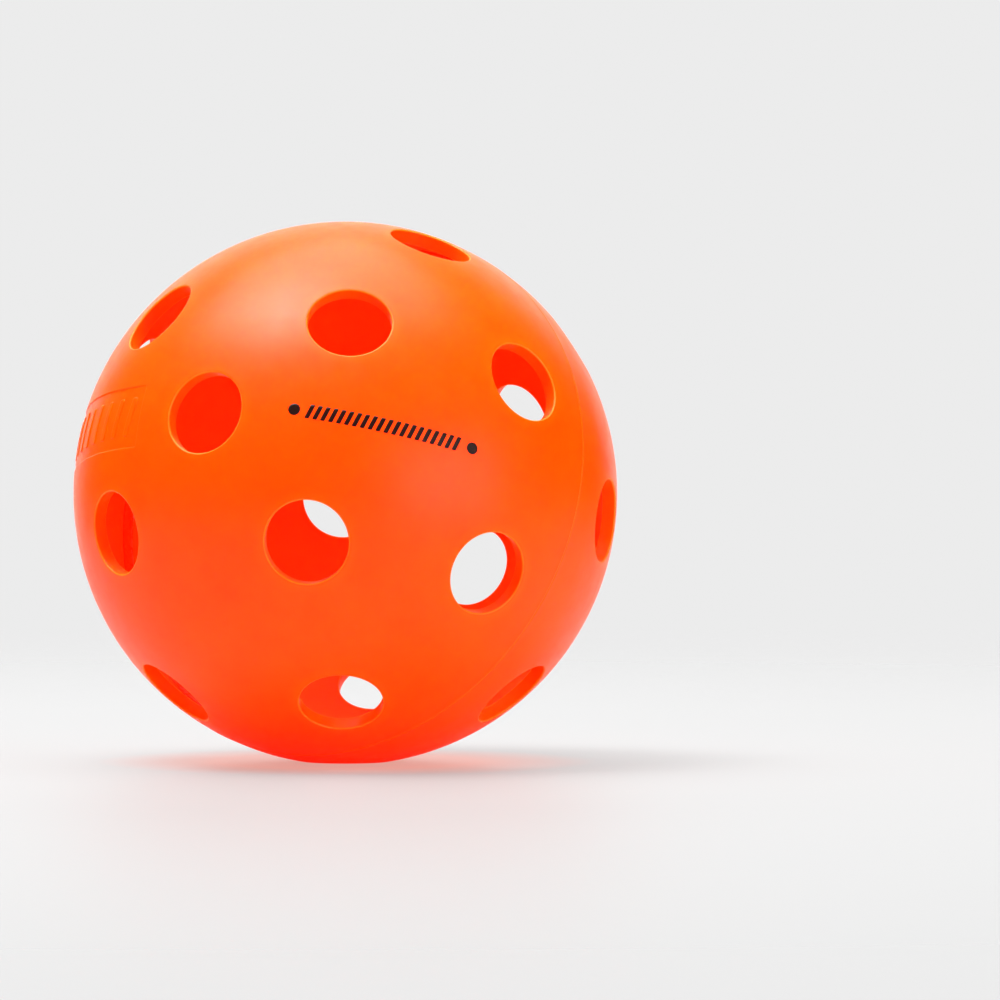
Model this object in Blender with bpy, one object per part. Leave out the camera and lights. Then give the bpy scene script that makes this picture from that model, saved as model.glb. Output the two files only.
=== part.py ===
"""Indoor pickleball: two identical moulded half shells, joined by a weld along their seam.

The ball stands on the rim of one of its holes, with its centre at the world origin and
+Z up. Both halves come from the same mould: a pole hole, four holes round it and eight
near the seam. The mould axis points forward (-Y) and is tipped up so far that a hole of
the rear half's outer ring faces straight down.
"""
import math

import bmesh
import bpy
from mathutils import Matrix, Vector

MM = 0.001

# Ball
BALL_RADIUS = 37.0 * MM
WALL = 1.85 * MM
SEAM_GAP = 0.3 * MM

# Holes: bore, the eased edge on the outside, and how far a cutter reaches past the wall
HOLE_RADIUS = 5.6 * MM
LIP_CHAMFER = 0.25 * MM
CUTTER_REACH = 1.5 * MM

# Hole rings of one half: polar angle from its pole, number of holes, azimuth of the first
RING_PITCH = math.radians(36.0)
HOLE_RINGS = (
    (0.0 * RING_PITCH, 1, 0.0),
    (1.0 * RING_PITCH, 4, math.radians(45.0)),
    (2.0 * RING_PITCH, 8, math.radians(22.5)),
)

# The rear half is the front one turned half a turn about this azimuth in the seam plane,
# which puts each outer hole opposite the bridge between two holes of the other half, give
# or take the small slip left by the weld
CLOCKING_SLIP = math.radians(1.5)
CLOCKING_AZIMUTH = math.radians(56.25) + 0.5 * CLOCKING_SLIP

# Standing on a hole of the rear half's outer ring, half a ring pitch past the seam
REST_TILT = 0.5 * RING_PITCH

# Weld bead: plastic squeezed out inside the seam; its crown is three quarters of its height
BEAD_HALF_WIDTH = 1.2 * MM
BEAD_HEIGHT = 0.7 * MM
BEAD_CROWN = 0.75 * BEAD_HEIGHT
BEAD_GAP = 0.3 * MM

# Facets
SHELL_STEPS = 48
SHELL_ARC_STEPS = 10
HOLE_STEPS = 24
BEAD_ARC_STEPS = 5
SHARP_ANGLE = math.radians(30.0)
MERGE_DISTANCE = 0.001 * MM

SHELL_COLOUR = (1.0, 0.13, 0.01, 1.0)
BEAD_COLOUR = (0.92, 0.10, 0.01, 1.0)
PLASTIC_ROUGHNESS = 0.38


def clear_scene():
    for obj in list(bpy.data.objects):
        bpy.data.objects.remove(obj, do_unlink=True)


def plastic(name, colour):
    """Satin moulded plastic."""
    material = bpy.data.materials.new(name)
    material.use_nodes = True
    shader = material.node_tree.nodes["Principled BSDF"]
    shader.inputs["Base Color"].default_value = colour
    shader.inputs["Roughness"].default_value = PLASTIC_ROUGHNESS
    shader.inputs["Metallic"].default_value = 0.0
    return material


def turned(bm, profile, steps, placing=Matrix.Identity(4)):
    """Add the solid that a closed (radius, height) outline sweeps round the Z axis."""
    ring = [bm.verts.new((radius, 0.0, height)) for radius, height in profile]
    edges = [bm.edges.new((ring[i - 1], ring[i])) for i in range(len(ring))]
    bmesh.ops.spin(
        bm,
        geom=ring + edges,
        cent=(0.0, 0.0, 0.0),
        axis=(0.0, 0.0, 1.0),
        dvec=(0.0, 0.0, 0.0),
        angle=2.0 * math.pi,
        steps=steps,
        use_merge=True,
    )
    added = [vert for vert in bm.verts if not vert.tag]
    bmesh.ops.remove_doubles(bm, verts=added, dist=MERGE_DISTANCE)
    added = [vert for vert in bm.verts if not vert.tag]
    bmesh.ops.transform(bm, matrix=placing, verts=added)
    for vert in added:
        vert.tag = True


def finish_mesh(bm, name):
    """Close a bmesh into an object with outward faces and smooth round surfaces."""
    axis_edges = [edge for edge in bm.edges if not edge.link_faces]
    bmesh.ops.delete(bm, geom=axis_edges, context="EDGES")
    bmesh.ops.recalc_face_normals(bm, faces=bm.faces)
    mesh = bpy.data.meshes.new(name)
    bm.to_mesh(mesh)
    bm.free()
    mesh.shade_smooth()
    mesh.set_sharp_from_angle(angle=SHARP_ANGLE)
    obj = bpy.data.objects.new(name, mesh)
    bpy.context.scene.collection.objects.link(obj)
    return obj


def hole_directions():
    """Unit vectors through the hole centres of one half, pole on +Z."""
    for polar, count, first in HOLE_RINGS:
        for index in range(count):
            azimuth = first + index * 2.0 * math.pi / count
            yield Vector((
                math.sin(polar) * math.cos(azimuth),
                math.sin(polar) * math.sin(azimuth),
                math.cos(polar),
            ))


def shell_outline():
    """Half of the wall's section: outer arc from pole to seam, then the inner arc back."""
    inner = BALL_RADIUS - WALL
    outline = []
    for radius, order in ((BALL_RADIUS, 1), (inner, -1)):
        seam_angle = math.acos(0.5 * SEAM_GAP / radius)
        angles = [seam_angle * i / SHELL_ARC_STEPS for i in range(SHELL_ARC_STEPS + 1)]
        for angle in angles[::order]:
            outline.append((radius * math.sin(angle), radius * math.cos(angle)))
    return outline


def cutter_outline():
    """A drill through the wall that flares at 45 degrees to ease the outer edge."""
    edge_height = math.sqrt(BALL_RADIUS**2 - HOLE_RADIUS**2)
    flare_start = edge_height - LIP_CHAMFER
    bottom = BALL_RADIUS - WALL - CUTTER_REACH
    top = BALL_RADIUS + CUTTER_REACH
    return [
        (0.0, bottom),
        (HOLE_RADIUS, bottom),
        (HOLE_RADIUS, flare_start),
        (HOLE_RADIUS + top - flare_start, top),
        (0.0, top),
    ]


def make_cutters(name):
    """All the hole cutters of one half as one guide object."""
    bm = bmesh.new()
    for direction in hole_directions():
        placing = Vector((0.0, 0.0, 1.0)).rotation_difference(direction).to_matrix().to_4x4()
        turned(bm, cutter_outline(), HOLE_STEPS, placing)
    cutters = finish_mesh(bm, name)
    cutters.hide_render = True
    cutters.display_type = "WIRE"
    return cutters


def make_half_shell(name, material):
    """One moulding in the mould's frame, pole on +Z, drilled by its cutters."""
    bm = bmesh.new()
    turned(bm, shell_outline(), SHELL_STEPS)
    shell = finish_mesh(bm, name)
    shell.data.materials.append(material)
    cutters = make_cutters(name + "_cutters")
    cutters.parent = shell
    drill = shell.modifiers.new("holes", "BOOLEAN")
    drill.operation = "DIFFERENCE"
    drill.solver = "EXACT"
    drill.object = cutters
    return shell


def make_weld_bead(name, material):
    """The ring of plastic squeezed out inside the seam, flat outside and crowned inside."""
    outer = BALL_RADIUS - WALL - BEAD_GAP
    outline = [(outer, BEAD_HALF_WIDTH)]
    shoulder = outer - (BEAD_HEIGHT - BEAD_CROWN)
    for index in range(BEAD_ARC_STEPS + 1):
        angle = math.pi * index / BEAD_ARC_STEPS
        radius = shoulder - BEAD_CROWN * math.sin(angle)
        outline.append((radius, BEAD_HALF_WIDTH * math.cos(angle)))
    outline.append((outer, -BEAD_HALF_WIDTH))
    bm = bmesh.new()
    turned(bm, outline, SHELL_STEPS)
    bead = finish_mesh(bm, name)
    bead.data.materials.append(material)
    return bead


def make_ball_frame():
    """Empty whose Z is the mould axis, with a hole of the rear half straight below."""
    mould_axis = Vector((0.0, -math.cos(REST_TILT), math.sin(REST_TILT)))
    downward = Vector((0.0, -math.sin(REST_TILT), -math.cos(REST_TILT)))
    sideways = mould_axis.cross(downward)
    frame = bpy.data.objects.new("ball_frame", None)
    bpy.context.scene.collection.objects.link(frame)
    tipped = Matrix((downward, sideways, mould_axis)).transposed().to_4x4()
    frame.matrix_world = tipped @ Matrix.Rotation(-CLOCKING_SLIP, 4, "Z")
    return frame


def main():
    clear_scene()
    shell_plastic = plastic("shell_orange", SHELL_COLOUR)
    bead_plastic = plastic("weld_orange", BEAD_COLOUR)
    ball_frame = make_ball_frame()

    front = make_half_shell("front_half_shell", shell_plastic)
    front.parent = ball_frame

    rear = make_half_shell("rear_half_shell", shell_plastic)
    rear.parent = ball_frame
    turn_axis = Vector((math.cos(CLOCKING_AZIMUTH), math.sin(CLOCKING_AZIMUTH), 0.0))
    rear.matrix_local = Matrix.Rotation(math.pi, 4, turn_axis)

    bead = make_weld_bead("weld_bead", bead_plastic)
    bead.parent = ball_frame


main()
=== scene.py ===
"""Looks of the indoor pickleball: satin, slightly translucent orange plastic.

Both half shells, the weld inside the seam and the printed line are meshed here at full
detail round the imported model. Lengths are in metres, and each half is built in its
mould's frame: pole on +Z, seam in the plane Z = 0.
"""
import math

import bmesh
import bpy
import numpy as np
from mathutils import Matrix, Vector
from mathutils.geometry import delaunay_2d_cdt


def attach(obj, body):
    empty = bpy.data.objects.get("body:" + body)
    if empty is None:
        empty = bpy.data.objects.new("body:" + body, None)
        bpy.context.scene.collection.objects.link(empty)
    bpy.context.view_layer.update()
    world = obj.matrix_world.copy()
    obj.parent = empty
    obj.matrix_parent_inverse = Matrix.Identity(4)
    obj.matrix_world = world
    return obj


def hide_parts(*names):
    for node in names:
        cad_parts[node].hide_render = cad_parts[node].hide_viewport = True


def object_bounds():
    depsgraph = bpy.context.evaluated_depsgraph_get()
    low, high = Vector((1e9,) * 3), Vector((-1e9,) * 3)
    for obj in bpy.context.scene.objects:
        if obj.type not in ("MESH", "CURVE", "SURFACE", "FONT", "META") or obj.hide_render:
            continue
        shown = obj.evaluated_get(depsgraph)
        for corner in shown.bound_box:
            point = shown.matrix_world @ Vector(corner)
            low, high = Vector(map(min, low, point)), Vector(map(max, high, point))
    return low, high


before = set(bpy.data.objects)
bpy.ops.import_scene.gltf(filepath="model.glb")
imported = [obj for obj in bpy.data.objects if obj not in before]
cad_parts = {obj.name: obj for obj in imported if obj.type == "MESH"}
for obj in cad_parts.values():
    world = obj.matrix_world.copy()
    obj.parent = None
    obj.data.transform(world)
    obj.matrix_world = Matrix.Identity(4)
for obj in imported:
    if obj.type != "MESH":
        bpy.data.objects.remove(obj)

MM = 0.001
POLE = np.array((0.0, 0.0, 1.0))
CAD_LOW, CAD_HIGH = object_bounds()

# Ball, as in the CAD
RADIUS = 37.0 * MM
WALL = 1.85 * MM
INNER_RADIUS = RADIUS - WALL
RING_PITCH = math.radians(36.0)
HOLE_RINGS = (
    (0.0 * RING_PITCH, 1, 0.0),
    (1.0 * RING_PITCH, 4, math.radians(45.0)),
    (2.0 * RING_PITCH, 8, math.radians(22.5)),
)
CLOCKING_SLIP = math.radians(1.5)
CLOCKING_AZIMUTH = math.radians(56.25) + 0.5 * CLOCKING_SLIP
REST_TILT = 0.5 * RING_PITCH

# Hole edges: bore, the full round on the outside and the small one on the inside
HOLE_RADIUS = 5.6 * MM
LIP_ROUND = 0.22 * MM
RIM_ROUND = 0.13 * MM
LIP_STEPS = 7
RIM_STEPS = 4
HOLE_STEPS = 112

# Rings of points round each hole: distance from the lip, and how strong the painted glow
# beside the opening is there
GUARD_RINGS = ((0.10 * MM, 0.6), (0.35 * MM, 0.6), (0.75 * MM, 0.3))
RIM_GUARD = 0.35 * MM

# Seam: a faint raised ridge with a hairline along its crest, its rows of points on the
# outside, the steps of its rounded edge and those across the wall
SEAM_STEPS = 560
SEAM_HALF_GAP = 0.010 * MM
SEAM_EDGE_ROUND = 0.15 * MM
SEAM_EDGE_STEPS = 3
SEAM_WALL_SHARES = (0.33, 0.67, 1.0)
RIDGE_WIDTH = 1.1 * MM
RIDGE_HEIGHT = 0.045 * MM
RIDGE_SINK_REACH = 5.0 * MM
SEAM_ROWS = (1.3 * MM, 1.0 * MM, 0.75 * MM, 0.55 * MM, 0.38 * MM, 0.26 * MM, 0.19 * MM)
# Painted highlight along the seam's rounded hairline
SEAM_RUBBING = 0.25

# Spread of mesh points: how far apart, the height of a row of even triangles, and how near
# two points of the flat map must be to count as one
OUTER_SPACING = 0.85 * MM
INNER_SPACING = 1.7 * MM
ROW_PITCH = 0.866
MERGE_DISTANCE = 1e-9

# Moulded panel on the front half: place along and across its meridian, depth, plain ribs
PANEL_AZIMUTH = math.radians(270.0)
PANEL_ALONG = (11.35 * MM, 40.5 * MM)
PANEL_ACROSS = (-4.0 * MM, 4.7 * MM)
PANEL_DEPTH = 0.13 * MM
PANEL_SLOPE = 0.09 * MM
PANEL_CORNER = 0.35 * MM
PANEL_GUARD = 0.08 * MM
RIB_COUNT = 9
RIB_WIDTH = 1.05 * MM
RIB_LENGTH = 5.4 * MM
RIB_LEAN = 0.9 * MM
RIB_CORNER = 0.30 * MM
RIB_SLOPE = 0.08 * MM
RIB_HEIGHT = 0.12 * MM
PANEL_POINT_STEP = 0.22 * MM
PANEL_FILL_STEP = 0.42 * MM

# Printed line on the front half: slanted bars between two dots, as a film whose faces lie
# between scaled copies of each outline
PRINT_AZIMUTH = math.radians(90.0)
PRINT_ALONG = (14.55 * MM, 35.75 * MM)
PRINT_MIDDLE = 1.42 * MM
PRINT_HEIGHT = 1.95 * MM
PRINT_LEAN = 0.58 * MM
BAR_COUNT = 20
BAR_FILL = 0.56
DOT_PLACES = (12.95 * MM, 37.55 * MM)
DOT_RADIUS = 0.80 * MM
DOT_STEPS = 40
BAR_CORNER = 0.10 * MM
BAR_POINT_STEP = 0.25 * MM
FILM_SHARES = (1.0, 0.75, 0.50, 0.25)
INK_BOTTOM = 0.003 * MM
INK_TOP = 0.014 * MM

# Weld bead inside the seam, with waves in its height and place: how much, how many, phase
BEAD_HALF_WIDTH = 1.15 * MM
BEAD_HEIGHT = 0.65 * MM
BEAD_SINK = 0.05 * MM
BEAD_STEPS = 480
BEAD_ARC_STEPS = 10
BEAD_SWELLS = ((0.12, 5, 0.7), (0.08, 13, 2.1), (0.05, 29, 0.0))
BEAD_SWAYS = ((0.10 * MM, 7, 1.3), (0.05 * MM, 17, 0.0))

# Shell plastic: colour range, a painted glow beside the holes and a painted highlight on the
# hole edges and the seam, how deep light soaks in, shine and roughness outside and inside,
# and a painted red glow as seen and as it lights what is around it
SHELL_COLOURS = ((1.0, 0.118, 0.0, 1.0), (1.0, 0.142, 0.0005, 1.0))
COLOUR_BESIDE_HOLES = (1.0, 0.160, 0.0, 1.0)
COLOUR_ON_EDGES = (1.0, 0.25, 0.015, 1.0)
WELD_COLOURS = ((0.95, 0.045, 0.001, 1.0), (1.0, 0.055, 0.001, 1.0))
INK_COLOURS = ((0.022, 0.004, 0.002, 1.0), (0.14, 0.018, 0.005, 1.0))
SOAK_DEPTH = 2.2 * MM
SHELL_SOAK = (1.0, 0.45, 0.12)
WELD_SOAK = (1.0, 0.22, 0.06)
PLASTIC_IOR = 1.5
GLOSS = 0.2
INK_GLOSS = 0.22
OUTER_ROUGHNESS = (0.30, 0.39)
INSIDE_ROUGHNESS = 0.68
WELD_ROUGHNESS = (0.22, 0.36)
INK_ROUGHNESS = (0.34, 0.46)
INK_COVER = (0.55, 0.80)
PIGMENT_COLOUR = (1.0, 0.006, 0.0, 1.0)
PIGMENT_GLOW = 0.8
PIGMENT_GLOW_AROUND = 0.14

# Scale of the patterns in the plastics and the ink, and the heights of their bumps
CLOUD_SIZE = 9.0 * MM
SATIN_SIZE = 2.5 * MM
WAVE_SIZE = 7.0 * MM
WAVE_HEIGHT = 0.02 * MM
GRAIN_SIZE = 0.35 * MM
GRAIN_HEIGHT = 0.012 * MM
WELD_CLOUD_SIZE = 3.0 * MM
WELD_RIPPLE_SIZE = 1.2 * MM
WELD_RIPPLE_HEIGHT = 0.012 * MM
INK_COVER_SIZE = 0.5 * MM
INK_SATIN_SIZE = 1.5 * MM
INK_GRAIN_SIZE = 0.3 * MM
INK_GRAIN_HEIGHT = 0.004 * MM

# Camera: where it stands round the ball, and how the ball sits in its picture
CAMERA_AZIMUTH = math.radians(32.35)
CAMERA_ELEVATION = math.radians(1.15)
CAMERA_DISTANCE = 28.0 * RADIUS
BALL_SHARE_OF_WIDTH = 0.5434
BALL_OFFSET = (-0.1545, 0.0066)
SENSOR_WIDTH = 36.0
CAMERA_CLIP = (0.05, 20.0)

# Lights: name, azimuth (0 in front, 90 on +X), elevation, distance, size, watts, and
# whether the skin mirrors it
LIGHTS = (
    ("key", -54.0, 72.0, 1.0, (0.62, 0.62), 6.2, True),
    ("key_core", -50.0, 71.0, 1.0, (0.30, 0.30), 3.2, True),
    ("overhead", -112.0, 79.0, 1.0, (1.1, 1.1), 14.0, True),
    ("right_card", 75.7, 6.0, 1.2, (0.9, 0.6), 5.7, True),
    ("right_high", 110.0, 40.0, 1.5, (1.0, 1.0), 3.0, False),
    ("front_low", 32.0, 3.0, 1.5, (1.6, 0.3), 1.7, False),
    ("backdrop", 212.7, 15.0, 1.8, (2.2, 1.4), 11.2, True),
)
BACKDROP_TONE = 0.838

# Floor disc: points round it and its rings
FLOOR_STEPS = 96
FLOOR_RINGS = (0.03, 0.08, 0.16, 0.32, 0.6, 1.0)

# Floor paper: tone and glow as seen, and as they light the ball from below; the light
# that the ball lets through tints the glow near the contact; each reach is a distance at
# which a change starts and one at which it ends
FLOOR_TONE = 0.18
FLOOR_TONE_ON_BALL = 0.34
FLOOR_GLOW = 0.395
FLOOR_GLOW_ON_BALL = 0.14
FLOOR_TINT = (1.65, 0.86, 0.74, 1.0)
FLOOR_ROUGHNESS = 0.5
FLOOR_TINT_REACH = (0.018, 0.034)
FLOOR_SHADE_REACH = (0.0, 0.050)
FLOOR_FADE_REACH = (0.14, 0.50)


def mould_frame():
    """Rotation whose Z is the mould axis, with a hole of the rear half straight below."""
    mould_axis = Vector((0.0, -math.cos(REST_TILT), math.sin(REST_TILT)))
    downward = Vector((0.0, -math.sin(REST_TILT), -math.cos(REST_TILT)))
    sideways = mould_axis.cross(downward)
    tipped = Matrix((downward, sideways, mould_axis)).transposed().to_4x4()
    return tipped @ Matrix.Rotation(-CLOCKING_SLIP, 4, "Z")


def turn_to_rear():
    axis = Vector((math.cos(CLOCKING_AZIMUTH), math.sin(CLOCKING_AZIMUTH), 0.0))
    return Matrix.Rotation(math.pi, 4, axis)


def hole_axes():
    """Unit vectors through the 13 holes of one half."""
    axes = []
    for polar, count, first in HOLE_RINGS:
        for index in range(count):
            azimuth = first + index * 2.0 * math.pi / count
            axes.append(np.array((
                math.sin(polar) * math.cos(azimuth),
                math.sin(polar) * math.sin(azimuth),
                math.cos(polar),
            )))
    return axes


def sideways_pair(axis):
    """Two unit vectors square to axis and to each other."""
    helper = np.array((0.0, 1.0, 0.0)) if abs(axis[1]) < 0.9 else np.array((1.0, 0.0, 0.0))
    first = np.cross(helper, axis)
    first /= np.linalg.norm(first)
    return first, np.cross(axis, first)


def ring_round(axis, side, height, count, phase=0.0):
    """Points of a circle round an axis, at a distance from it and a height along it."""
    first, second = sideways_pair(axis)
    turn = (np.arange(count) + phase) * 2.0 * math.pi / count
    circle = np.cos(turn)[:, None] * first + np.sin(turn)[:, None] * second
    return side * circle + height * axis


def unit(points):
    return points / np.linalg.norm(points, axis=1)[:, None]


def flatten(directions):
    """Stereographic map of the half: circles stay circles, so its triangles stay good."""
    return directions[:, :2] / (1.0 + directions[:, 2])[:, None]


def even_spread(spacing):
    """Directions spread evenly over the half by the golden angle."""
    count = int(2.0 * math.pi * RADIUS**2 / (spacing**2 * ROW_PITCH))
    index = np.arange(count) + 0.5
    height = 1.0 - index / count
    side = np.sqrt(1.0 - height**2)
    turn = index * math.pi * (3.0 - math.sqrt(5.0))
    return np.stack((side * np.cos(turn), side * np.sin(turn), height), axis=1)


class Skin:
    """Points and faces of one closed mesh."""

    def __init__(self):
        self.points = []
        self.faces = []
        self.edge = []

    def add(self, points, edge=0.0):
        """Add points; edge rises to 1 for a painted highlight on an edge and falls to -1 for
        painted glow beside an opening.
        """
        start = len(self.points)
        self.points.extend(map(tuple, points))
        self.edge.extend([edge] * len(points))
        return np.arange(start, len(self.points))

    def strip(self, loop_a, loop_b):
        """Quads from one closed loop to the next."""
        for i in range(len(loop_a)):
            j = (i + 1) % len(loop_a)
            self.faces.append((loop_a[i], loop_a[j], loop_b[j], loop_b[i]))

    def sheet(self, indices, flat, loops, openings=()):
        """Triangles through points on a flat map, along closed loops, not over openings.

        indices are the points' numbers in this skin; loops and openings are lists of
        places in indices.
        """
        edges = []
        for loop in loops:
            edges += [(int(loop[i - 1]), int(loop[i])) for i in range(len(loop))]
        vertices = [Vector(point) for point in flat]
        result = delaunay_2d_cdt(vertices, edges, [], 1, MERGE_DISTANCE)
        origin = [found[0] for found in result[3]]
        opening_of = np.full(len(indices), -1)
        for number, loop in enumerate(openings):
            opening_of[loop] = number
        for face in result[2]:
            corners = [origin[corner] for corner in face]
            marks = {int(opening_of[corner]) for corner in corners}
            if len(marks) == 1 and marks != {-1}:
                continue
            self.faces.append(tuple(int(indices[corner]) for corner in corners))

    def to_object(self, name, placing, material):
        mesh = bpy.data.meshes.new(name)
        mesh.from_pydata(self.points, [], self.faces)
        mesh.transform(placing)
        edge = mesh.attributes.new("edge", "FLOAT", "POINT")
        edge.data.foreach_set("value", self.edge)

        bm = bmesh.new()
        bm.from_mesh(mesh)
        bmesh.ops.recalc_face_normals(bm, faces=bm.faces)
        loose = [edge for edge in bm.edges if len(edge.link_faces) != 2]
        if loose:
            raise RuntimeError(f"{name} isn't closed: {len(loose)} open edges")
        bm.to_mesh(mesh)
        bm.free()
        mesh.shade_smooth()
        mesh.materials.append(material)
        obj = bpy.data.objects.new(name, mesh)
        bpy.context.scene.collection.objects.link(obj)
        return obj


def hole_section():
    """(distance from the axis, height, painted highlight) from the outer surface to the inner one.
    """
    section = []
    lip_side = HOLE_RADIUS + LIP_ROUND
    lip_height = math.sqrt((RADIUS - LIP_ROUND)**2 - lip_side**2)
    lean = math.atan2(lip_side, lip_height)
    for step in range(LIP_STEPS + 1):
        share = step / LIP_STEPS
        angle = lean - (lean + 0.5 * math.pi) * share
        side = lip_side + LIP_ROUND * math.sin(angle)
        height = lip_height + LIP_ROUND * math.cos(angle)
        # The lip's round carries a painted highlight, fullest halfway round
        section.append((side, height, math.sin(math.pi * share)))
    rim_side = HOLE_RADIUS + RIM_ROUND
    rim_height = math.sqrt((INNER_RADIUS + RIM_ROUND)**2 - rim_side**2)
    rim_lean = math.atan2(rim_side, rim_height)
    for step in range(RIM_STEPS + 1):
        share = step / RIM_STEPS
        angle = -0.5 * math.pi - (0.5 * math.pi - rim_lean) * share
        side = rim_side + RIM_ROUND * math.sin(angle)
        height = rim_height + RIM_ROUND * math.cos(angle)
        # The inner rim's round carries a painted highlight as well
        section.append((side, height, math.sin(math.pi * share)))
    return section


def along_meridian(azimuth, along, across):
    """Direction of a place given along a meridian from the pole, and across it."""
    out = np.array((math.cos(azimuth), math.sin(azimuth), 0.0))
    side = np.array((-math.sin(azimuth), math.cos(azimuth), 0.0))
    polar = np.asarray(along)[:, None] / RADIUS
    lateral = np.asarray(across)[:, None] / RADIUS
    meridian = np.sin(polar) * out + np.cos(polar) * POLE
    return np.cos(lateral) * meridian + np.sin(lateral) * side


def rounded_outline(corners, corner_round, inset, step):
    """Points along a convex outline with rounded corners, pulled in by inset."""
    count = len(corners)
    corners = [Vector(corner) for corner in corners]
    outline = []
    for i, corner in enumerate(corners):
        before = (corners[i - 1] - corner).normalized()
        after = (corners[(i + 1) % count] - corner).normalized()
        half_angle = 0.5 * before.angle(after)
        middle = corner + (before + after).normalized() * (corner_round / math.sin(half_angle))
        radius = corner_round - inset
        start = Vector((before.y, -before.x))
        end = Vector((-after.y, after.x))
        if start.dot(corner - middle) < 0.0:
            start, end = -start, -end
        arc = [middle + start.slerp(end, k / 4.0) * radius for k in range(5)]
        if outline:
            outline += subdivide(outline[-1], arc[0], step)
        outline += arc
    outline += subdivide(outline[-1], outline[0], step)
    return np.array([tuple(point) for point in outline])


def subdivide(start, end, step):
    """Points between two ends, about a step apart, without the ends."""
    parts = max(1, round((end - start).length / step))
    return [start.lerp(end, k / parts) for k in range(1, parts)]


def slanted_box(centre, width, length, lean):
    """Corners of a box standing across a line, its far side pushed along by lean."""
    along, across = centre
    return (
        (along - 0.5 * width - 0.5 * lean, across - 0.5 * length),
        (along + 0.5 * width - 0.5 * lean, across - 0.5 * length),
        (along + 0.5 * width + 0.5 * lean, across + 0.5 * length),
        (along - 0.5 * width + 0.5 * lean, across + 0.5 * length),
    )


def inside(points, outline):
    """Which points lie inside a closed outline."""
    found = np.zeros(len(points), bool)
    for i in range(len(outline)):
        (x0, y0), (x1, y1) = outline[i - 1], outline[i]
        if y0 == y1:
            continue
        crosses = (y0 > points[:, 1]) != (y1 > points[:, 1])
        at = (x1 - x0) * (points[:, 1] - y0) / (y1 - y0) + x0
        found ^= crosses & (points[:, 0] < at)
    return found


def bevel(corners, corner_round, slope, outer_depth, inner_depth):
    """Outlines of a step in the surface: its two edges and a guard beside each."""
    insets = (-PANEL_GUARD, 0.0, slope, slope + PANEL_GUARD)
    depths = (outer_depth, outer_depth, inner_depth, inner_depth)
    return [
        (rounded_outline(corners, corner_round, inset, PANEL_POINT_STEP), depth)
        for inset, depth in zip(insets, depths)
    ]


def panel_steps():
    """Bevels of the moulded panel: its own edge first, then its ribs."""
    (a0, a1), (c0, c1) = PANEL_ALONG, PANEL_ACROSS
    edge = ((a0, c0), (a1, c0), (a1, c1), (a0, c1))
    steps = [bevel(edge, PANEL_CORNER, PANEL_SLOPE, 0.0, PANEL_DEPTH)]
    pitch = (a1 - a0) / (RIB_COUNT + 0.5)
    middle = 0.5 * (c0 + c1)
    for number in range(RIB_COUNT):
        centre = (a0 + pitch * (number + 0.75), middle)
        box = slanted_box(centre, RIB_WIDTH, RIB_LENGTH, RIB_LEAN)
        steps.append(bevel(box, RIB_CORNER, RIB_SLOPE, PANEL_DEPTH, PANEL_DEPTH - RIB_HEIGHT))
    return steps


def panel_fill(steps):
    """Places and depths of points inside the panel, clear of its outlines."""
    (a0, a1), (c0, c1) = PANEL_ALONG, PANEL_ACROSS
    step = PANEL_FILL_STEP
    along, across = np.meshgrid(np.arange(a0, a1, step), np.arange(c0, c1, step * ROW_PITCH))
    along[1::2] += 0.5 * step
    grid = np.stack((along.ravel(), across.ravel()), axis=1)
    drawn = np.concatenate([outline for bevels in steps for outline, _ in bevels])
    gap = np.array([np.hypot(*(drawn - point).T).min() for point in grid])
    grid = grid[(gap > 0.4 * step) & inside(grid, steps[0][-1][0])]
    depth = np.full(len(grid), PANEL_DEPTH)
    for bevels in steps[1:]:
        depth[inside(grid, bevels[1][0])] = PANEL_DEPTH - RIB_HEIGHT
    return grid, depth


def ridge(distance):
    """Height of the weld's ridge at a distance from the seam.

    The wall sinks as much towards the ridge as the ridge rises, so its crest keeps the
    ball's radius.
    """
    distance = np.asarray(distance)
    rise = np.clip(1.0 - distance / RIDGE_WIDTH, 0.0, 1.0)**2
    sink = np.clip((RIDGE_SINK_REACH - distance) / (RIDGE_SINK_REACH - RIDGE_WIDTH), 0.0, 1.0)
    return RIDGE_HEIGHT * (rise - sink)


def add_hole_walls(skin, axes, section):
    """Walls of all holes; returns their loops on the outer and on the inner surface."""
    mouths, rims = [], []
    for axis in axes:
        loops = []
        for side, height, rubbing in section:
            # Each ring takes its painted highlight along as its edge value
            loops.append(skin.add(ring_round(axis, side, height, HOLE_STEPS), rubbing))
        for loop_a, loop_b in zip(loops, loops[1:]):
            skin.strip(loop_a, loop_b)
        mouths.append(loops[0])
        rims.append(loops[-1])
    return mouths, rims


def add_seam_edge(skin):
    """Rows that climb the ridge, round over its hairline and cross the wall.

    Returns the first row, on the outer surface, and the last, on the inner one.
    """
    rows = []
    for distance in SEAM_ROWS:
        polar = 0.5 * math.pi - distance / RADIUS
        radius = RADIUS + float(ridge(distance))
        rows.append((radius * math.sin(polar), radius * math.cos(polar), 0.0))
    crest = RADIUS + float(ridge(SEAM_EDGE_ROUND)) - SEAM_EDGE_ROUND
    for step in range(SEAM_EDGE_STEPS + 1):
        angle = 0.5 * math.pi * step / SEAM_EDGE_STEPS
        side = crest + SEAM_EDGE_ROUND * math.cos(angle)
        height = SEAM_HALF_GAP + SEAM_EDGE_ROUND * (1.0 - math.sin(angle))
        # The hairline's rows carry the seam's painted highlight
        rows.append((side, height, SEAM_RUBBING))
    for share in SEAM_WALL_SHARES:
        rows.append((crest + (INNER_RADIUS - crest) * share, SEAM_HALF_GAP, 0.0))
    loops = [
        skin.add(ring_round(POLE, side, height, SEAM_STEPS), rubbing)
        for side, height, rubbing in rows
    ]
    for loop_a, loop_b in zip(loops, loops[1:]):
        skin.strip(loop_a, loop_b)
    return loops[0], loops[-1]


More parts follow.
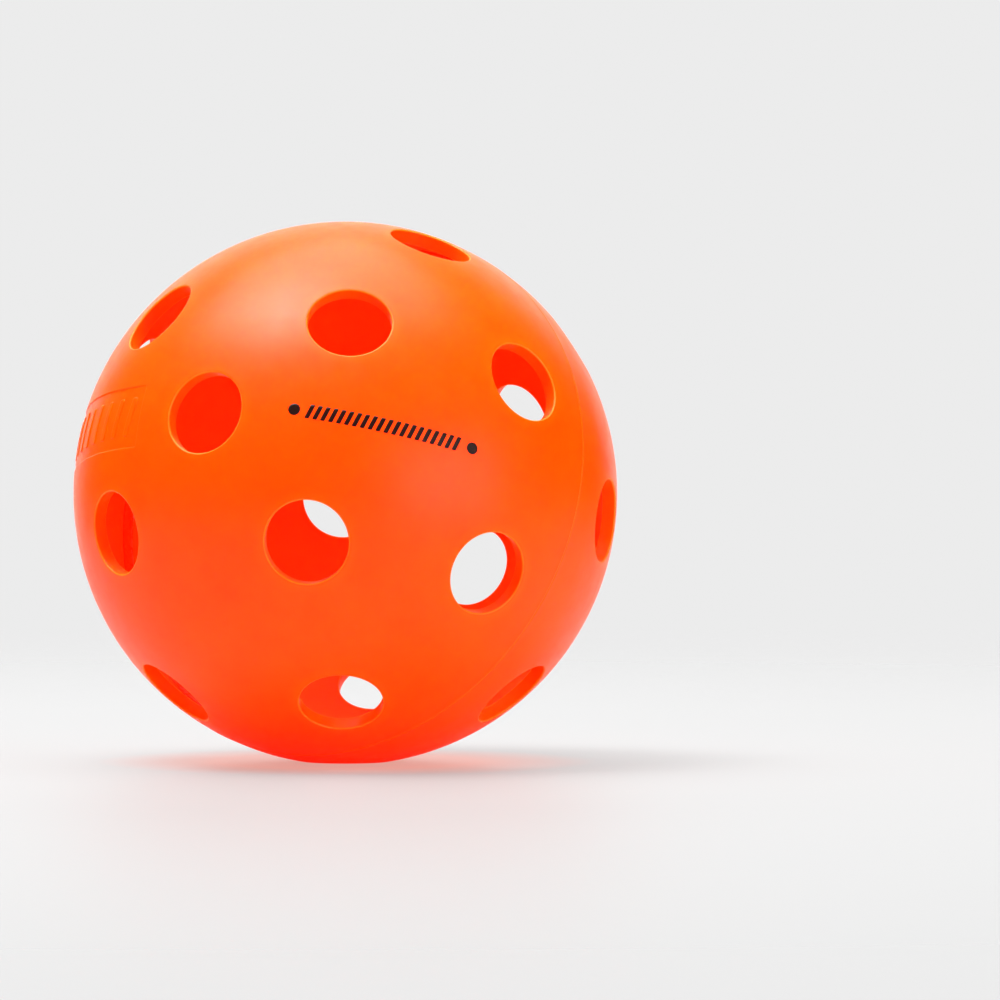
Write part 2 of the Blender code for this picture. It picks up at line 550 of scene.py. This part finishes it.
def clear_spread(spacing, radius, seam_gap, keep_off, axes):
    """Evenly spread directions, clear of the seam and of the holes."""
    spread = even_spread(spacing)
    clear = spread[:, 2] > math.sin(seam_gap / radius)
    for axis in axes:
        clear &= spread @ axis < math.cos(keep_off)
    return spread[clear]


def over_panel(directions):
    """Which directions pass through the moulded panel or close to its edge."""
    (a0, a1), (c0, c1) = PANEL_ALONG, PANEL_ACROSS
    out = np.array((math.cos(PANEL_AZIMUTH), math.sin(PANEL_AZIMUTH), 0.0))
    side = np.array((-math.sin(PANEL_AZIMUTH), math.cos(PANEL_AZIMUTH), 0.0))
    along = np.arctan2(directions @ out, directions[:, 2]) * RADIUS
    across = np.arcsin(directions @ side) * RADIUS
    margin = 0.5 * OUTER_SPACING
    over = (along > a0 - margin) & (along < a1 + margin)
    return over & (across > c0 - margin) & (across < c1 + margin)


def start_sheet(skin, groups):
    """Numbers and flat places of the edge loops that a sheet starts from."""
    flat = [flatten(unit(np.array([skin.points[i] for i in group]))) for group in groups]
    return list(groups), flat


def hole_and_seam_places(axes):
    """Places of the hole loops and of the seam loop among a sheet's first points."""
    count = HOLE_STEPS * len(axes)
    holes = np.arange(count).reshape(len(axes), HOLE_STEPS)
    return holes, np.arange(SEAM_STEPS) + count


def add_outer_surface(skin, axes, mouths, seam_loop, mouth_angle, with_panel):
    """Outer surface between the lips and the seam; points are (directions, depths, edge)."""
    keep_off = mouth_angle + (GUARD_RINGS[-1][0] + 0.55 * OUTER_SPACING) / RADIUS
    seam_gap = SEAM_ROWS[0] + 0.6 * OUTER_SPACING
    directions = clear_spread(OUTER_SPACING, RADIUS, seam_gap, keep_off, axes)
    if with_panel:
        directions = directions[~over_panel(directions)]
    depths = -ridge(np.arcsin(directions[:, 2]) * RADIUS)
    parts = [(directions, depths, 0.0)]
    for axis in axes:
        # Guard rings carry the painted glow beside the opening, as negative edge values
        for number, (gap, brighter) in enumerate(GUARD_RINGS):
            angle = mouth_angle + gap / RADIUS
            count = HOLE_STEPS if number < 2 else HOLE_STEPS * 3 // 4
            phase = 0.5 * (number % 2 + 1)
            ring = ring_round(axis, math.sin(angle), math.cos(angle), count, phase)
            parts.append((ring, 0.0, -brighter))
    outlines = []
    if with_panel:
        steps = panel_steps()
        grid, depth = panel_fill(steps)
        parts.append((along_meridian(PANEL_AZIMUTH, grid[:, 0], grid[:, 1]), depth, 0.0))
        for outline, level in [pair for bevels in steps for pair in bevels]:
            outline = along_meridian(PANEL_AZIMUTH, outline[:, 0], outline[:, 1])
            outlines.append((outline, level, 0.0))

    indices, flat = start_sheet(skin, (np.concatenate(mouths), seam_loop))
    hole_places, seam_places = hole_and_seam_places(axes)
    for directions, level, edge in parts + outlines:
        radius = RADIUS - np.broadcast_to(level, len(directions))
        indices.append(skin.add(directions * radius[:, None], edge))
        flat.append(flatten(directions))
    loops = [*hole_places, seam_places]
    start = sum(len(group) for group in flat[: 2 + len(parts)])
    for directions, _, _ in outlines:
        loops.append(np.arange(start, start + len(directions)))
        start += len(directions)
    skin.sheet(np.concatenate(indices), np.concatenate(flat), loops, hole_places)


def add_inner_surface(skin, axes, rims, seam_loop, rim_angle):
    """Inner surface between the rims and the seam."""
    guard = rim_angle + RIM_GUARD / INNER_RADIUS
    keep_off = guard + 0.6 * INNER_SPACING / INNER_RADIUS
    parts = [clear_spread(INNER_SPACING, INNER_RADIUS, 0.7 * INNER_SPACING, keep_off, axes)]
    for axis in axes:
        parts.append(ring_round(axis, math.sin(guard), math.cos(guard), HOLE_STEPS // 2, 0.5))
    indices, flat = start_sheet(skin, (np.concatenate(rims), seam_loop))
    hole_places, seam_places = hole_and_seam_places(axes)
    for directions in parts:
        indices.append(skin.add(directions * INNER_RADIUS))
        flat.append(flatten(directions))
    loops = [*hole_places, seam_places]
    skin.sheet(np.concatenate(indices), np.concatenate(flat), loops, hole_places)


def build_half(name, placing, material, with_panel):
    """One half shell in its mould's frame, then placed."""
    skin = Skin()
    axes = hole_axes()
    section = hole_section()
    mouths, rims = add_hole_walls(skin, axes, section)
    outer_seam, inner_seam = add_seam_edge(skin)
    mouth_angle = math.atan2(*section[0][:2])
    rim_angle = math.atan2(*section[-1][:2])
    add_outer_surface(skin, axes, mouths, outer_seam, mouth_angle, with_panel)
    add_inner_surface(skin, axes, rims, inner_seam, rim_angle)
    return skin.to_object(name, placing, material)


def print_outlines():
    """Outlines of the slanted bars and of the two dots."""
    start, end = PRINT_ALONG
    pitch = (end - start) / BAR_COUNT
    outlines = []
    for number in range(BAR_COUNT):
        centre = (start + pitch * (number + 0.5), PRINT_MIDDLE)
        box = slanted_box(centre, pitch * BAR_FILL, PRINT_HEIGHT, PRINT_LEAN)
        outlines.append(rounded_outline(box, BAR_CORNER, 0.0, BAR_POINT_STEP))
    turn = np.arange(DOT_STEPS) * 2.0 * math.pi / DOT_STEPS
    for place in DOT_PLACES:
        along = place + DOT_RADIUS * np.cos(turn)
        across = PRINT_MIDDLE + DOT_RADIUS * np.sin(turn)
        outlines.append(np.stack((along, across), axis=1))
    return outlines


def build_print(placing, material):
    """The printed line as a thin film."""
    skin = Skin()
    for outline in print_outlines():
        middle = outline.mean(0)
        edges = []
        for lift in (INK_TOP, INK_BOTTOM):
            loops = []
            for share in FILM_SHARES:
                places = middle + share * (outline - middle)
                directions = along_meridian(PRINT_AZIMUTH, places[:, 0], places[:, 1])
                loops.append(skin.add(directions * (RADIUS + lift)))
            for loop_a, loop_b in zip(loops, loops[1:]):
                skin.strip(loop_a, loop_b)
            centre = along_meridian(PRINT_AZIMUTH, middle[:1], middle[1:])
            tip = skin.add(centre * (RADIUS + lift))[0]
            skin.faces += [(loops[-1][i - 1], loops[-1][i], tip) for i in range(len(outline))]
            edges.append(loops[0])
        skin.strip(*edges)
    return skin.to_object("printed_line", placing, material)


def waves_round(turn, waves):
    """Sum of sine waves round the seam, each (height, number of waves, phase)."""
    return sum(height * np.sin(count * turn + phase) for height, count, phase in waves)


def build_bead(placing, material):
    """The weld's squeezed-out ring, a little uneven round its run."""
    skin = Skin()
    turn = np.arange(BEAD_STEPS) * 2.0 * math.pi / BEAD_STEPS
    swell = 1.0 + waves_round(turn, BEAD_SWELLS)
    sway = waves_round(turn, BEAD_SWAYS)
    around = ring_round(POLE, 1.0, 0.0, BEAD_STEPS)
    loops = []
    for step in range(BEAD_ARC_STEPS + 1):
        angle = math.pi * step / BEAD_ARC_STEPS
        side = INNER_RADIUS + BEAD_SINK - BEAD_HEIGHT * math.sin(angle) * swell
        height = BEAD_HALF_WIDTH * math.cos(angle) * (0.5 + 0.5 * swell) + sway
        loops.append(skin.add(around * side[:, None] + height[:, None] * POLE))
    for loop_a, loop_b in zip(loops, loops[1:]):
        skin.strip(loop_a, loop_b)
    skin.strip(loops[-1], loops[0])
    return skin.to_object("weld_bead_fine", placing, material)


class Nodes:
    """Short calls for making and linking shader nodes."""

    def __init__(self, material):
        material.use_nodes = True
        self.tree = material.node_tree
        self.shader = self.tree.nodes["Principled BSDF"]
        self.place = self.add("ShaderNodeTexCoord").outputs["Object"]

    def add(self, kind, **settings):
        node = self.tree.nodes.new(kind)
        for name, value in settings.items():
            setattr(node, name, value)
        return node

    def link(self, out_socket, in_socket):
        self.tree.links.new(out_socket, in_socket)

    def noise(self, size, detail=2.0, roughness=0.5):
        """Noise whose features are about size metres across."""
        node = self.add("ShaderNodeTexNoise")
        node.inputs["Scale"].default_value = 1.0 / size
        node.inputs["Detail"].default_value = detail
        node.inputs["Roughness"].default_value = roughness
        self.link(self.place, node.inputs["Vector"])
        return node.outputs["Fac"]

    def remap(self, value, low, high, from_low=0.3, from_high=0.7):
        """Scale a value from one range to another; a noise mostly lies from 0.3 to 0.7."""
        node = self.add("ShaderNodeMapRange")
        node.inputs["From Min"].default_value = from_low
        node.inputs["From Max"].default_value = from_high
        node.inputs["To Min"].default_value = low
        node.inputs["To Max"].default_value = high
        self.link(value, node.inputs["Value"])
        return node.outputs["Result"]

    def mix_colours(self, factor, first, second):
        """Mix a colour, plain or from another node, with a plain one."""
        node = self.add("ShaderNodeMix", data_type="RGBA")
        colour_a, colour_b = [s for s in node.inputs if s.type == "RGBA"]
        if isinstance(first, bpy.types.NodeSocket):
            self.link(first, colour_a)
        else:
            colour_a.default_value = first
        colour_b.default_value = second
        self.link(factor, node.inputs["Factor"])
        return [s for s in node.outputs if s.type == "RGBA"][0]

    def bump(self, height, distance, under=None):
        """Bumps distance metres high, over the bumps under them."""
        node = self.add("ShaderNodeBump")
        node.inputs["Strength"].default_value = 1.0
        node.inputs["Distance"].default_value = distance
        self.link(height, node.inputs["Height"])
        if under is not None:
            self.link(under, node.inputs["Normal"])
        return node.outputs["Normal"]


def shell_plastic():
    """Satin orange polyethylene, duller inside: light soaks a few millimetres into the wall."""
    material = bpy.data.materials.new("shell_orange_plastic")
    nodes = Nodes(material)
    shader = nodes.shader
    cloud = nodes.noise(CLOUD_SIZE, 8.0, 0.65)
    edge = nodes.add("ShaderNodeAttribute", attribute_name="edge").outputs["Fac"]
    colour = nodes.mix_colours(nodes.remap(cloud, 0.0, 1.0), *SHELL_COLOURS)
    # Painted glow beside the holes, where edge falls to -1
    colour = nodes.mix_colours(nodes.remap(edge, 1.0, 0.0, -1.0, 0.0), colour, COLOUR_BESIDE_HOLES)
    # Painted highlight on hole lips, inner rims and the seam hairline, where edge rises to 1
    colour = nodes.mix_colours(nodes.remap(edge, 0.0, 1.0, 0.0, 1.0), colour, COLOUR_ON_EDGES)
    nodes.link(colour, shader.inputs["Base Color"])
    shader.inputs["Subsurface Weight"].default_value = 1.0
    shader.inputs["Subsurface Radius"].default_value = SHELL_SOAK
    shader.inputs["Subsurface Scale"].default_value = SOAK_DEPTH
    shader.inputs["IOR"].default_value = PLASTIC_IOR
    shader.inputs["Specular IOR Level"].default_value = GLOSS
    # Painted red glow
    pigment_glow(nodes)
    grain = nodes.noise(GRAIN_SIZE, 4.0, 0.6)
    length = nodes.add("ShaderNodeVectorMath", operation="LENGTH")
    nodes.link(nodes.place, length.inputs[0])
    satin = nodes.remap(nodes.noise(SATIN_SIZE, 5.0, 0.6), *OUTER_ROUGHNESS)
    roughness = nodes.add("ShaderNodeMapRange")
    roughness.inputs["From Min"].default_value = INNER_RADIUS
    roughness.inputs["From Max"].default_value = RADIUS - 0.5 * WALL
    roughness.inputs["To Min"].default_value = INSIDE_ROUGHNESS
    nodes.link(length.outputs["Value"], roughness.inputs["Value"])
    nodes.link(satin, roughness.inputs["To Max"])
    nodes.link(roughness.outputs["Result"], shader.inputs["Roughness"])
    waves = nodes.bump(nodes.noise(WAVE_SIZE, 1.0), WAVE_HEIGHT)
    nodes.link(nodes.bump(grain, GRAIN_HEIGHT, waves), shader.inputs["Normal"])
    return material


def pigment_glow(nodes):
    """A painted red glow on the plastic, fuller as seen than as it lights its surroundings."""
    path = nodes.add("ShaderNodeLightPath")
    glow = nodes.remap(path.outputs["Is Camera Ray"], PIGMENT_GLOW_AROUND, PIGMENT_GLOW, 0.0, 1.0)
    nodes.link(glow, nodes.shader.inputs["Emission Strength"])
    nodes.shader.inputs["Emission Color"].default_value = PIGMENT_COLOUR


def weld_plastic():
    """The same plastic after melting: a little darker and glossier."""
    material = bpy.data.materials.new("weld_orange_plastic")
    nodes = Nodes(material)
    shader = nodes.shader
    cloud = nodes.noise(WELD_CLOUD_SIZE, 3.0)
    colour = nodes.mix_colours(nodes.remap(cloud, 0.0, 1.0), *WELD_COLOURS)
    nodes.link(colour, shader.inputs["Base Color"])
    shader.inputs["Subsurface Weight"].default_value = 1.0
    shader.inputs["Subsurface Radius"].default_value = WELD_SOAK
    shader.inputs["Subsurface Scale"].default_value = SOAK_DEPTH
    shader.inputs["Specular IOR Level"].default_value = GLOSS
    # Painted red glow, as on the shell
    pigment_glow(nodes)
    satin = nodes.remap(nodes.noise(WELD_RIPPLE_SIZE, 4.0), *WELD_ROUGHNESS)
    nodes.link(satin, shader.inputs["Roughness"])
    ripples = nodes.bump(nodes.noise(WELD_RIPPLE_SIZE, 2.0), WELD_RIPPLE_HEIGHT)
    nodes.link(ripples, shader.inputs["Normal"])
    return material


def print_ink():
    """Thin brown-black ink, with the plastic's grain and a slightly uneven cover."""
    material = bpy.data.materials.new("black_print_ink")
    nodes = Nodes(material)
    shader = nodes.shader
    cover = nodes.noise(INK_COVER_SIZE, 4.0, 0.7)
    colour = nodes.mix_colours(nodes.remap(cover, 0.0, 1.0, *INK_COVER), *INK_COLOURS)
    nodes.link(colour, shader.inputs["Base Color"])
    shader.inputs["Specular IOR Level"].default_value = INK_GLOSS
    satin = nodes.remap(nodes.noise(INK_SATIN_SIZE, 3.0), *INK_ROUGHNESS)
    nodes.link(satin, shader.inputs["Roughness"])
    grain = nodes.bump(nodes.noise(INK_GRAIN_SIZE, 3.0), INK_GRAIN_HEIGHT)
    nodes.link(grain, shader.inputs["Normal"])
    return material


def make_camera():
    """A long lens, close to the floor, with the ball left of the picture's middle."""
    data = bpy.data.cameras.new("camera")
    camera = bpy.data.objects.new("camera", data)
    bpy.context.scene.collection.objects.link(camera)
    bpy.context.scene.camera = camera
    data.sensor_width = SENSOR_WIDTH
    data.dof.use_dof = False
    away = math.sqrt(CAMERA_DISTANCE**2 - RADIUS**2)
    data.lens = 0.5 * BALL_SHARE_OF_WIDTH * SENSOR_WIDTH * away / RADIUS
    data.clip_start, data.clip_end = CAMERA_CLIP
    back = Vector((
        math.sin(CAMERA_AZIMUTH) * math.cos(CAMERA_ELEVATION),
        -math.cos(CAMERA_AZIMUTH) * math.cos(CAMERA_ELEVATION),
        math.sin(CAMERA_ELEVATION),
    ))
    facing = back.to_track_quat("Z", "Y").to_matrix()
    swing = math.atan(BALL_OFFSET[0] * SENSOR_WIDTH / data.lens)
    nod = math.atan(BALL_OFFSET[1] * SENSOR_WIDTH / data.lens)
    aim = Matrix.Rotation(swing, 3, "Y") @ Matrix.Rotation(-nod, 3, "X")
    camera.matrix_world = Matrix.Translation(back * CAMERA_DISTANCE) @ (facing @ aim).to_4x4()


def make_floor():
    """A pale matte floor that melts into the backdrop's tone away from the ball."""
    mesh = bpy.data.meshes.new("floor")
    count = FLOOR_STEPS
    points = [(0.0, 0.0, 0.0)]
    for radius in FLOOR_RINGS:
        for k in range(count):
            turn = 2.0 * math.pi * k / count
            points.append((radius * math.cos(turn), radius * math.sin(turn), 0.0))
    faces = [(0, 1 + k, 1 + (k + 1) % count) for k in range(count)]
    for ring in range(len(FLOOR_RINGS) - 1):
        a, b = 1 + ring * count, 1 + (ring + 1) * count
        for k in range(count):
            n = (k + 1) % count
            faces.append((a + k, b + k, b + n, a + n))
    mesh.from_pydata(points, [], faces)
    floor = bpy.data.objects.new("floor", mesh)
    floor.location = (0.0, 0.0, CAD_LOW.z)
    bpy.context.scene.collection.objects.link(floor)
    material = bpy.data.materials.new("floor_paper")
    nodes = Nodes(material)
    nodes.shader.inputs["Roughness"].default_value = FLOOR_ROUGHNESS
    seen = nodes.add("ShaderNodeLightPath").outputs["Is Camera Ray"]
    tones = [(tone, tone, tone, 1.0) for tone in (FLOOR_TONE_ON_BALL, FLOOR_TONE)]
    nodes.link(nodes.mix_colours(seen, *tones), nodes.shader.inputs["Base Color"])
    length = nodes.add("ShaderNodeVectorMath", operation="LENGTH")
    nodes.link(nodes.place, length.inputs[0])
    away = length.outputs["Value"]
    untinted = nodes.remap(away, 0.0, 1.0, *FLOOR_TINT_REACH)
    tint = nodes.mix_colours(untinted, FLOOR_TINT, (1.0, 1.0, 1.0, 1.0))
    nodes.link(tint, nodes.shader.inputs["Emission Color"])
    on_ball = nodes.remap(away, 0.0, FLOOR_GLOW_ON_BALL, *FLOOR_SHADE_REACH)
    glow = nodes.add("ShaderNodeMapRange")
    nodes.link(seen, glow.inputs["Value"])
    nodes.link(on_ball, glow.inputs["To Min"])
    glow.inputs["To Max"].default_value = FLOOR_GLOW
    nodes.link(glow.outputs["Result"], nodes.shader.inputs["Emission Strength"])
    fade = nodes.add("ShaderNodeMapRange", interpolation_type="SMOOTHSTEP")
    fade.inputs["From Min"].default_value = FLOOR_FADE_REACH[0]
    fade.inputs["From Max"].default_value = FLOOR_FADE_REACH[1]
    fade.inputs["To Min"].default_value = 1.0
    fade.inputs["To Max"].default_value = 0.0
    nodes.link(away, fade.inputs["Value"])
    nodes.link(fade.outputs["Result"], nodes.shader.inputs["Alpha"])
    mesh.materials.append(material)


def area_light(name, place, size, power, mirrored):
    """A soft panel that faces the ball."""
    data = bpy.data.lights.new(name, "AREA")
    data.shape = "RECTANGLE"
    data.size, data.size_y = size
    data.energy = power
    light = bpy.data.objects.new(name, data)
    light.location = place
    light.rotation_mode = "QUATERNION"
    light.rotation_quaternion = Vector(place).to_track_quat("Z", "Y")
    light.visible_camera = False
    light.visible_glossy = mirrored
    bpy.context.scene.collection.objects.link(light)


def round_the_ball(azimuth, elevation, distance):
    """A place seen from the ball, with azimuth 0 on -Y and 90 on +X."""
    azimuth, elevation = math.radians(azimuth), math.radians(elevation)
    level = distance * math.cos(elevation)
    return (level * math.sin(azimuth), -level * math.cos(azimuth), distance * math.sin(elevation))


def make_light():
    """Softboxes above, a card and a fill at the right, a low fill in front, a lit backdrop.

    The surroundings are dark, and their pale tone shows to the camera only.
    """
    for name, azimuth, elevation, distance, size, power, mirrored in LIGHTS:
        area_light(name, round_the_ball(azimuth, elevation, distance), size, power, mirrored)
    world = bpy.data.worlds.new("studio")
    bpy.context.scene.world = world
    world.use_nodes = True
    tree = world.node_tree
    dark = tree.nodes["Background"]
    dark.inputs["Strength"].default_value = 0.0
    backdrop = tree.nodes.new("ShaderNodeBackground")
    backdrop.inputs["Color"].default_value = (BACKDROP_TONE, BACKDROP_TONE, BACKDROP_TONE, 1.0)
    path = tree.nodes.new("ShaderNodeLightPath")
    mix = tree.nodes.new("ShaderNodeMixShader")
    tree.links.new(path.outputs["Is Camera Ray"], mix.inputs["Fac"])
    tree.links.new(dark.outputs[0], mix.inputs[1])
    tree.links.new(backdrop.outputs[0], mix.inputs[2])
    tree.links.new(mix.outputs[0], tree.nodes["World Output"].inputs["Surface"])
    view = bpy.context.scene.view_settings
    view.view_transform = "Standard"
    view.look = "None"


make_camera()
plastic = shell_plastic()
front_placing = mould_frame()
rear_placing = front_placing @ turn_to_rear()

front = build_half("front_half_shell_fine", front_placing, plastic, True)
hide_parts("front_half_shell")

rear = build_half("rear_half_shell_fine", rear_placing, plastic, False)
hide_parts("rear_half_shell")

bead = build_bead(front_placing, weld_plastic())
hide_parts("weld_bead")

printed = build_print(front_placing, print_ink())

for piece in (front, rear, bead, printed):
    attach(piece, "root")

make_floor()
make_light()
